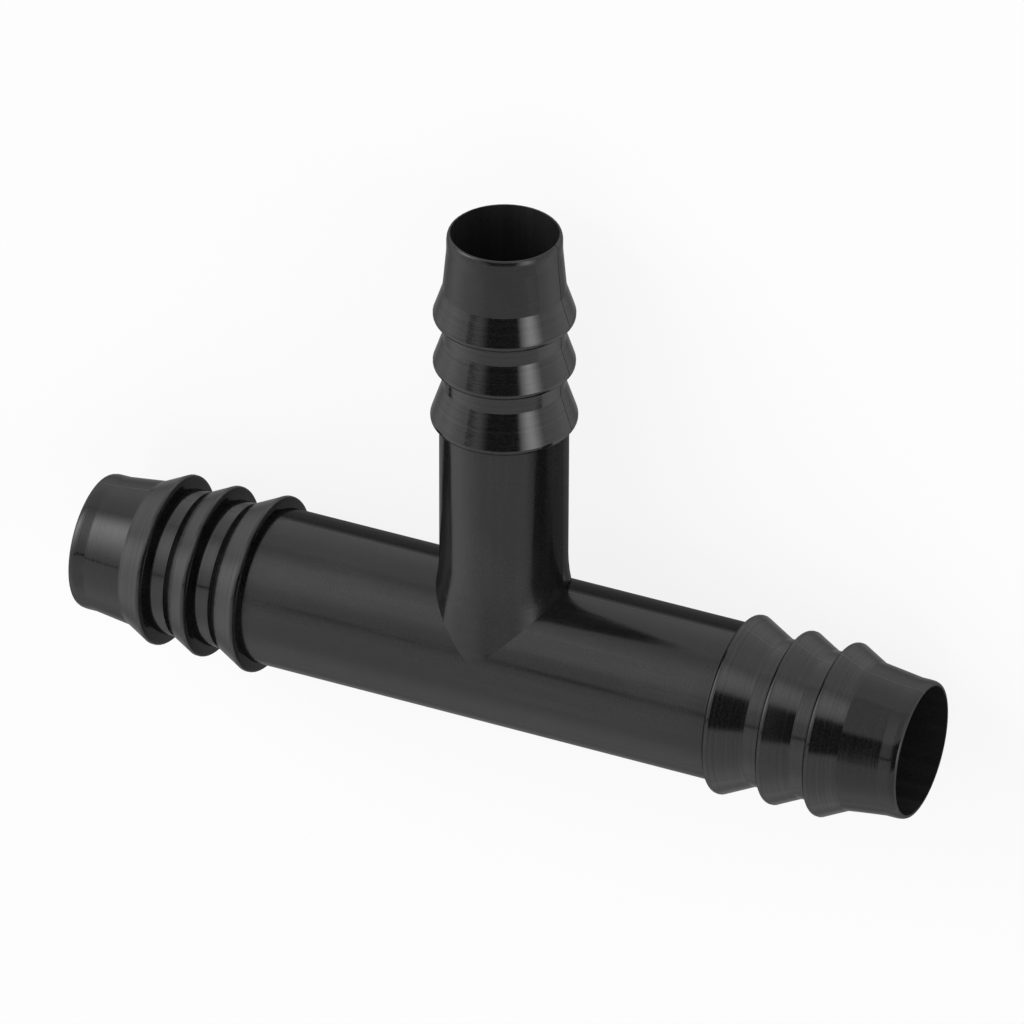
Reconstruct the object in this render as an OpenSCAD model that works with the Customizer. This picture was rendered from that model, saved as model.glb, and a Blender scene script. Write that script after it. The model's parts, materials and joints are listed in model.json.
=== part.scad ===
// Barbed reducing tee for flexible hose, one moulding in rigid plastic.
// The run lies along X, the branch along +Y, and both axes meet at the origin.
// The tee lies on its side, as it would on a bench, so +Z is up.

/* [Run] */
// Length of the run from tip to tip
run_length = 139.5; // [100:0.5:220]
// Outside diameter of the plain pipe between the two tails
run_pipe_d = 24.8; // [22.5:0.1:27.5]
// Diameter of the bore through the run
run_bore_d = 20.2; // [17:0.1:20.6]

/* [Run tails] */
// Outside diameter at the tip, before the edge is rounded
run_tip_d = 21.7; // [21.3:0.1:23]
// Diameter of the plain bands between barbs
run_land_d = 23.3; // [21.9:0.1:25]
// Diameter over the two outer barbs
run_crest_d = 27.3; // [25.6:0.1:28]
// Diameter over the last barb, next to the pipe
run_last_crest_d = 28.2; // [27.4:0.1:30]
// Lead-in from the tip to the first ramp
run_lead_l = 9.2; // [4:0.1:14]
// Length of each plain band between barbs
run_land_l = 2.6; // [0.8:0.1:6]
// Slope of the ramps, measured from the axis
run_ramp_angle = 26.5; // [18:0.5:40]

/* [Branch] */
// Distance from the run's axis to the branch's tip
branch_length = 73.8; // [58:0.2:140]
// Outside diameter of the plain pipe below the tail
branch_pipe_d = 19.8; // [18:0.1:22]
// Diameter of the branch's bore
branch_bore_d = 16.4; // [13:0.1:16.5]
// How much narrower the foot of the branch's root is than the run's pipe
root_under = 0.1; // [0.05:0.05:1.5]
// Slope of the root's sides, measured from the branch's axis
root_angle = 10.5; // [9:0.5:25]
// Radius that blends the root into the branch's pipe
root_blend_r = 30; // [5:1:40]

/* [Branch tail] */
// Outside diameter at the tip, before the edge is rounded
branch_tip_d = 17.6; // [17.3:0.1:18.7]
// Diameter of the plain bands between barbs
branch_land_d = 18.8; // [17.6:0.1:20.2]
// Diameter over the two outer barbs
branch_crest_d = 21.7; // [20.4:0.1:22.2]
// Diameter over the last barb, next to the pipe
branch_last_crest_d = 22.5; // [21.8:0.1:24]
// Lead-in from the tip to the first ramp
branch_lead_l = 9.4; // [4:0.1:12]
// Length of each plain band between barbs
branch_land_l = 3; // [0.8:0.1:6]
// Slope of the ramps, measured from the axis
branch_ramp_angle = 18.5; // [14:0.5:35]

/* [Edges] */
// Cylindrical band left on top of every barb
crest_flat = 0.3; // [0.2:0.05:0.8]
// Rounding between that band and the back face
crest_edge_r = 0.6; // [0.1:0.05:0.7]
// How far the back face leans along the axis
back_lean = 0.3; // [0:0.05:1]
// Depth of the rounding on the outside of each tip
lip_r = 0.4; // [0.2:0.05:0.4]
// Length of that rounding along the axis
lip_l = 1.2; // [0.4:0.1:1.4]
// Length of the straight stretch at each tip, its rounding included
mouth_l = 2.8; // [1.5:0.1:3.6]

/* [Hidden] */
$fn = 96;
run_tip_at = run_length / 2;
arc_steps = 6;
cut = 1;

// Length of a ramp that climbs from one radius to another
function ramp_l(from_r, to_r, angle) = (to_r - from_r) / tan(angle);

// Points [radius, place on the axis] over one barb, from the foot of its ramp
// at foot_at, over the crest and down the back face to the root radius
function barb(foot_at, foot_r, crest_r, root_r, angle) =
    let (crest_at = foot_at - ramp_l(foot_r, crest_r, angle),
         turn = atan2(crest_r - root_r, back_lean),
         edge_l = crest_edge_r * tan(turn / 2),
         back_at = crest_at - crest_flat - edge_l)
    concat(
        [[foot_r, foot_at], [crest_r, crest_at]],
        [for (i = [0:arc_steps])
            let (a = turn * i / arc_steps)
            [crest_r - crest_edge_r * (1 - cos(a)),
             back_at + edge_l - crest_edge_r * sin(a)]],
        [[root_r, back_at - back_lean]]);

// Where the last point of an outline lies on the axis
function end_at(points) = points[len(points) - 1][1];

// Outline of a whole tail from the axis at the tip to the root of its last barb
function tail(tip_at, tip_d, land_d, crest_d, last_d, pipe_d, lead_l, land_l, angle) =
    let (land = land_d / 2,
         lip = [for (i = [0:arc_steps])
             let (a = 90 * i / arc_steps)
             [tip_d / 2 - lip_r * (1 - sin(a)), tip_at - lip_l * (1 - cos(a))]],
         first = barb(tip_at - lead_l, land, crest_d / 2, land, angle),
         second = barb(end_at(first) - land_l, land, crest_d / 2, land, angle),
         third = barb(end_at(second) - land_l, land, last_d / 2, pipe_d / 2, angle))
    concat([[0, tip_at]], lip, [[tip_d / 2, tip_at - mouth_l]], first, second, third);

run_tail = tail(run_tip_at, run_tip_d, run_land_d, run_crest_d, run_last_crest_d,
                run_pipe_d, run_lead_l, run_land_l, run_ramp_angle);
branch_tail = tail(branch_length, branch_tip_d, branch_land_d, branch_crest_d,
                   branch_last_crest_d, branch_pipe_d, branch_lead_l, branch_land_l,
                   branch_ramp_angle);

// Outline of the branch's root: a blend out of the pipe, a cone, and a foot that
// ends under the run's skin. The cone's edge meets that skin in front and behind,
// so the two pipes join in a V
root = let (pipe_r = branch_pipe_d / 2,
            foot_r = (run_pipe_d - root_under) / 2,
            foot_at = sqrt(pow(run_pipe_d / 2, 2) - pow(foot_r, 2)),
            knee_at = foot_at + ramp_l(pipe_r, foot_r, root_angle),
            blend_at = knee_at + root_blend_r * tan(root_angle / 2))
    concat(
        [for (i = [0:arc_steps])
            let (a = root_angle * i / arc_steps)
            [pipe_r + root_blend_r * (1 - cos(a)), blend_at - root_blend_r * sin(a)]],
        [[foot_r, foot_at], [foot_r, 0], [0, 0]]);

// The run's outside: the same tail at both ends of one straight pipe
module run_outside() {
    other_end = [for (i = [len(run_tail) - 1:-1:0]) [run_tail[i][0], -run_tail[i][1]]];
    rotate([0, 90, 0])
        rotate_extrude()
            polygon(concat(run_tail, other_end));
}

// The branch's outside, from its tip down to the run's axis
module branch_outside() {
    rotate([-90, 0, 0])
        rotate_extrude()
            polygon(concat(branch_tail, root));
}

// The three core pins of the mould leave one bore through the run and one up the branch
module bores() {
    rotate([0, 90, 0])
        cylinder(h = run_length + 2 * cut, d = run_bore_d, center = true);
    rotate([-90, 0, 0])
        cylinder(h = branch_length + cut, d = branch_bore_d);
}

module tee_body() {
    color([0.05, 0.05, 0.052])
        difference() {
            union() {
                run_outside();
                branch_outside();
            }
            bores();
        }
}

tee_body();
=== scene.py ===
import json
from math import degrees, radians

import bpy
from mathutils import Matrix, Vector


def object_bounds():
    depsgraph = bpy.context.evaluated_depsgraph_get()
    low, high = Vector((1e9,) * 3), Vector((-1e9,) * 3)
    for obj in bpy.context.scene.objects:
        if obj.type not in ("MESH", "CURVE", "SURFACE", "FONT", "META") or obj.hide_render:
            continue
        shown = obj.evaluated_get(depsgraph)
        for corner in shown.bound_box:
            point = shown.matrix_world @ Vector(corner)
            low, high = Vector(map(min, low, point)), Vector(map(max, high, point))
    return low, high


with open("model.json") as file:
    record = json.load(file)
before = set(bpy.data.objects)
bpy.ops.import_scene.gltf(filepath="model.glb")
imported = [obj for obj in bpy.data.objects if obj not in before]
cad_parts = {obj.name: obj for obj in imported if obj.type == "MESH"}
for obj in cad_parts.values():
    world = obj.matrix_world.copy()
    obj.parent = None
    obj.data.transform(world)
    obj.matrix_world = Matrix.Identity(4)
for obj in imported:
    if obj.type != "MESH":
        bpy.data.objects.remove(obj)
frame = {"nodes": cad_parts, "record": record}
cad_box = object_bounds()

# The camera. The tee lies on its side, as it comes to rest, and the photograph
# looks down on it at 50 degrees, from the branch's side and a little from its right.
# A long lens keeps the near and the far arm nearly the same size.
bpy.ops.object.camera_add(
    location=(0.53628, 0.84815, 1.16836),
    rotation=(radians(-32.583), radians(24.708), radians(0.185)),
)
camera = bpy.context.object
camera.data.sensor_width = 36
camera.data.lens = 351.6
camera.data.clip_end = 10
bpy.context.scene.camera = camera
bpy.context.scene.view_settings.view_transform = "Standard"


# The tee. One piece of glossy black plastic, injection moulded round three core
# pins. The two halves of the mould part on the plane of both axes, where a hairline
# of flash runs round the tee, and their turned steel left fine rings on the barbs.
class Socket:
    """An output of a shader node that takes part in Python expressions."""

    def __init__(self, tree, output=None):
        self.tree, self.output = tree, output

    def node(self, kind, settings=None, inputs=None, output=0):
        """Adds a node, sets it up, fills its inputs, and gives back one of its outputs."""
        node = self.tree.nodes.new(kind)
        for name, value in (settings or {}).items():
            setattr(node, name, value)
        for name, value in (inputs or {}).items():
            if isinstance(value, Socket):
                self.tree.links.new(value.output, node.inputs[name])
            else:
                node.inputs[name].default_value = value
        return Socket(self.tree, node.outputs[output]) if node.outputs else None

    def maths(self, operation, *values):
        """One step of arithmetic on sockets or plain numbers."""
        return self.node("ShaderNodeMath", {"operation": operation}, dict(enumerate(values)))

    def __add__(self, other):
        return self.maths("ADD", self, other)

    def __sub__(self, other):
        return self.maths("SUBTRACT", self, other)

    def __rsub__(self, other):
        return self.maths("SUBTRACT", other, self)

    def __mul__(self, other):
        return self.maths("MULTIPLY", self, other)

    def __pow__(self, other):
        return self.maths("POWER", self, other)

    def __abs__(self):
        return self.maths("ABSOLUTE", self)

    def __neg__(self):
        return self.maths("SUBTRACT", 0, self)

    __radd__, __rmul__ = __add__, __mul__

    def larger(self, other):
        """The larger of the two."""
        return self.maths("MAXIMUM", self, other)

    def rise(self, low, high):
        """0 below low, 1 above high, and a smooth step between."""
        return self.node(
            "ShaderNodeMapRange",
            {"interpolation_type": "SMOOTHSTEP"},
            {"Value": self, "From Min": low, "From Max": high},
        )


mm = 0.001  # in metres
mounts = {mount["name"]: mount for mount in frame["record"]["mounts"]}
run_bore = mounts["run_bore"]["dims"]["r_mm"] * mm
branch_bore = mounts["branch_bore"]["dims"]["r_mm"] * mm
run_tip, branch_tip = cad_box[1][0], cad_box[1][1]
plastic = bpy.data.materials.new("black_plastic")
plastic.use_nodes = True
plastic.node_tree.nodes.clear()
shader = Socket(plastic.node_tree)
place = shader.node("ShaderNodeTexCoord", output="Object")
x, y, z = (
    shader.node("ShaderNodeSeparateXYZ", None, {"Vector": place}, axis) for axis in "XYZ"
)

# The parting line, a hairline 0.2 mm wide. Below it, on the half that faces the floor,
# the run takes the dull plastic as painted shade, which darkens its reflections there.
# The branch's stem, which starts at the run's wall, takes it on both sides as painted shade too.
flash = 1 - abs(z).rise(0.05 * mm, 0.13 * mm)
stem_foot = run_bore + 1.9 * mm
on_stem = y.rise(stem_foot, stem_foot + 4 * mm)
# Painted shade: the run's half towards the floor, and the stem's sides, take the dull plastic.
shaded_lower_half = (1 - z.rise(-1.4 * mm, 0.4 * mm)) * (1 - on_stem)
shaded_stem_sides = (1 - abs(z).rise(5 * mm, 7.5 * mm)) * on_stem

# The walls of the bores, which the core pins left duller than the outside. The
# branch's bore starts inside the run's.
from_run = (y * y + z * z) ** 0.5
from_branch = (x * x + z * z) ** 0.5
in_run = 1 - from_run.rise(run_bore + 0.02 * mm, run_bore + 0.2 * mm)
in_branch = 1 - from_branch.rise(branch_bore + 0.02 * mm, branch_bore + 0.15 * mm)
branch_start = run_bore - 1.1 * mm
bore = in_run.larger(in_branch * y.rise(branch_start, branch_start + 0.5 * mm))

# The barbed tails, whose mould was turned, so that rings run round them. Each ends in
# a plain nozzle. The back faces of the barbs, which look towards the middle of the
# tee, take the dull plastic as painted shade, so that they render dark without a highlight.
run_tail = mounts["right_tail"]["pos_m"][0] - 1.5 * mm
branch_tail = mounts["branch_tail"]["pos_m"][1] - 1.4 * mm
run_nozzle = run_tip - 9.45 * mm
branch_nozzle = branch_tip - 9.6 * mm
on_run = abs(x).rise(run_tail, run_tail + 0.5 * mm)
on_branch = y.rise(branch_tail, branch_tail + 0.5 * mm)
along = y * on_branch + abs(x) * (1 - on_branch)
on_nozzle = (
    abs(x).rise(run_nozzle, run_nozzle + 0.4 * mm) * (1 - on_branch)
    + y.rise(branch_nozzle, branch_nozzle + 0.4 * mm)
)
turned = on_run.larger(on_branch) * (1 - bore)
rings_per_metre = 2200.0
rings = shader.node(
    "ShaderNodeTexNoise",
    {"noise_dimensions": "1D"},
    {"W": along, "Scale": rings_per_metre, "Detail": 3.0, "Roughness": 0.6},
)
facing = shader.node("ShaderNodeNewGeometry", output="Normal")
faces_x, faces_y = (
    shader.node("ShaderNodeSeparateXYZ", None, {"Vector": facing}, axis) for axis in "XY"
)
outward = faces_x * x.maths("SIGN", x) * (1 - on_branch) + faces_y * on_branch
# The faces of the barbs that look back towards the tee's middle, which get painted shade below.
behind = (-outward).rise(0.05, 0.5) * turned

# The slow waviness of moulded plastic, smudges from handling, and a fine grain. Each
# has its number of blots to a metre and its depth of detail.
waves, smudge, grain = (
    shader.node("ShaderNodeTexNoise", None, {"Vector": place, "Scale": scale, "Detail": detail})
    for scale, detail in ((90.0, 2.0), (70.0, 4.0), (4200.0, 2.0))
)

# Faint streaks along the plain pipes, as hoses leave when pushed on and pulled off.
# They are noise with few blots to a metre along the pipe and many across it.
few, many = 30, 700
run_streaks, stem_streaks = (
    shader.node(
        "ShaderNodeTexNoise",
        None,
        {
            "Vector": shader.node(
                "ShaderNodeVectorMath", {"operation": "MULTIPLY"}, {0: place, 1: stretch}
            ),
            "Scale": 1.0,
            "Detail": 3.0,
        },
    )
    for stretch in ((few, many, many), (many, few, many))
)
streaks = run_streaks * (1 - on_stem) + stem_streaks * on_stem
streaked = streaks.rise(0.45, 0.75) * (1 - turned)

# How high each of these stands, then how much each of them pales and dulls the black.
height = (
    0.05 * mm * flash
    + 0.04 * mm * waves
    + 0.012 * mm * turned * rings
    + (0.0022 * mm + 0.006 * mm * bore) * grain
)
relief = shader.node("ShaderNodeBump", None, {"Height": height, "Distance": 1.0})
tint = (
    0.004
    - 0.0035 * turned
    + 0.01 * grain.rise(0.25, 0.8)
    + 0.004 * smudge.rise(0.5, 0.75)
    + 0.002 * turned * rings.rise(0.5, 0.7)
    + 0.004 * streaked
    + 0.006 * bore
)
roughness = (
    0.14
    - 0.05 * turned
    + 0.08 * smudge.rise(0.45, 0.75)
    + 0.07 * turned * rings.rise(0.45, 0.7)
    + 0.12 * streaked
    + 0.35 * bore
)
polish = (0.12 + 0.16 * rings.rise(0.35, 0.65) + 0.1 * grain) * turned * (1 - on_nozzle)
gloss = shader.node(
    "ShaderNodeBsdfPrincipled",
    None,
    {
        "Base Color": tint,
        "Roughness": roughness,
        "IOR": 1.47,
        "Coat Weight": polish,
        "Coat Roughness": 0.15,
        "Normal": relief,
    },
)
dull = shader.node(
    "ShaderNodeBsdfPrincipled",
    None,
    {"Base Color": tint, "Roughness": 0.6, "Specular IOR Level": 0.0, "Normal": relief},
)

# The skin is a mix of the glossy and the dull plastic. At a flat angle it scatters
# what it would else mirror, so the outline stays dark against a white floor. The
# hairline of flash is dull only where it crosses the branch's barbs.
flatness = shader.node("ShaderNodeLayerWeight", None, {"Blend": 0.5}, "Facing")
dulling = 0.74 * flatness.rise(0.36, 0.72)
# Painted shade: the barbs' back faces take the dull plastic, so they render dark.
back_face_shade = 0.85 * behind
# Painted shade: the run's lower half and the stem's sides take the dull plastic, so their
# reflections render dark.
painted_shade = 0.88 * (shaded_lower_half + shaded_stem_sides) * (1 - turned)
dark_line = 0.9 * flash * on_branch
dullness = dulling.larger(back_face_shade.larger(painted_shade + dark_line))
skin = shader.node("ShaderNodeMixShader", None, {0: dullness, 1: gloss, 2: dull})
shader.node("ShaderNodeOutputMaterial", None, {"Surface": skin})
tee = frame["nodes"]["tee_body"]
tee.data.materials.clear()
tee.data.materials.append(plastic)

# The floor. A wide sheet of white paper, which the tee rests on. Part of its white
# is its own, so that the tee's shadow on it stays faint.
bpy.ops.mesh.primitive_plane_add(size=8, location=(0, 0, cad_box[0][2]))
floor = bpy.context.object
floor.name = "floor"
paper = bpy.data.materials.new("white_paper")
paper.use_nodes = True
paper.node_tree.nodes.clear()
shader = Socket(paper.node_tree)
seen, mirrored, refracted = (
    shader.node("ShaderNodeLightPath", output=f"Is {kind} Ray")
    for kind in ("Camera", "Glossy", "Transmission")
)
own_white = 0.86
sheet = shader.node("ShaderNodeBsdfDiffuse", None, {"Color": (0.94, 0.94, 0.94, 1)})
white = shader.node("ShaderNodeEmission", None, {"Color": (1, 1, 1, 1), "Strength": 1.0})
surface = shader.node(
    "ShaderNodeMixShader", None, {0: own_white * (seen + mirrored + refracted), 1: sheet, 2: white}
)
shader.node("ShaderNodeOutputMaterial", None, {"Surface": surface})
floor.data.materials.append(paper)

# The studio. Pale walls light the tee from all round. A tall soft box stands to the
# left of the photograph's camera and a low one to its right, under a white reflector.
# Black cloth hangs behind the camera, and a dark bar crosses the room on the left.
studio = bpy.data.worlds.new("studio")
bpy.context.scene.world = studio
studio.use_nodes = True
studio.node_tree.nodes.clear()
shader = Socket(studio.node_tree)
ray = shader.node("ShaderNodeTexCoord", output="Generated")
rightward, upward, backward = (
    shader.node(
        "ShaderNodeVectorMath", {"operation": "DOT_PRODUCT"}, {0: ray, 1: direction}, "Value"
    )
    for direction in camera.rotation_euler.to_matrix().col
)
# Degrees from the line back to the camera, to its right and above it.
aside = shader.maths("ARCTAN2", rightward, backward) * degrees(1)
above = shader.maths("ARCSINE", upward) * degrees(1)


def panel(left, right, low, high, soft, right_soft=None):
    """1 on the part of the room between those angles, fading over soft edges."""
    right_soft = right_soft or soft
    level_soft = min(soft, right_soft)
    past_left = aside.rise(left - soft, left + soft)
    past_right = aside.rise(right - right_soft, right + right_soft)
    past_low = above.rise(low - level_soft, low + level_soft)
    past_high = above.rise(high - level_soft, high + level_soft)
    return (past_left - past_right) * (past_low - past_high)


walls = 1.02 + 0.25 * panel(-140, -52, -45, 3, 12)
tall_box = 5.5 * panel(-93, -50, 9, 52, 22)
low_box = 4.2 * panel(34, 66, -32, -5, 13, 30)
reflector = 1.3 * panel(17, 90, 6, 41, 12)
cloth = 0.93 * panel(-36, 26, -38, 5, 10, 4)
bar = 0.95 * panel(-66, -33, -18, -15, 1)
# The boxes and the reflector grow dim towards the floor.
lift = shader.node("ShaderNodeSeparateXYZ", None, {"Vector": ray}, "Z").rise(-0.04, 0.42)
light = (walls + (tall_box + low_box + reflector) * lift) * (1 - cloth) * (1 - bar)
paint = shader.node("ShaderNodeBackground", None, {"Strength": light})
shader.node("ShaderNodeOutputWorld", None, {"Surface": paint})
